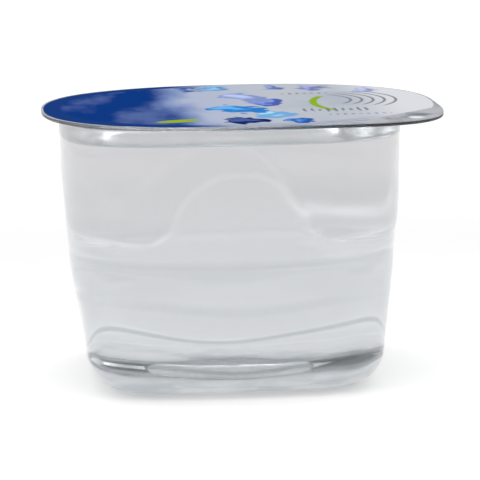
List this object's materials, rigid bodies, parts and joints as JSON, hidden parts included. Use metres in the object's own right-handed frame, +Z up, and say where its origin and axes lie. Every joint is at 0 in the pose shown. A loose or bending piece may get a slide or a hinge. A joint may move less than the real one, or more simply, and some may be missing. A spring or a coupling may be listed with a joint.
{
  "type": "sealed water cup",
  "caption": "Clear rounded-square portion cup of drinking water, filled nearly to the rim and sealed with a printed foil lid that has a corner pull tab.",
  "frame": {"origin": "on the surface that the cup stands on, under the middle of the lid's outline", "axes": "+Z up, the front face towards -Y, the pull tab at the corner between +X and -Y"},
  "size_m": [0.0776, 0.0776, 0.0536],
  "materials": {
    "clear_cup_plastic": "clear formed sheet, glossy",
    "drinking_water": "clear still water",
    "printed_foil": "printed and lacquered foil, bare silver at the pull tab"
  },
  "bodies": {
    "root": {"cup": "clear_cup_plastic", "water": "drinking_water", "lid": "printed_foil"}
  },
  "joints": []
}
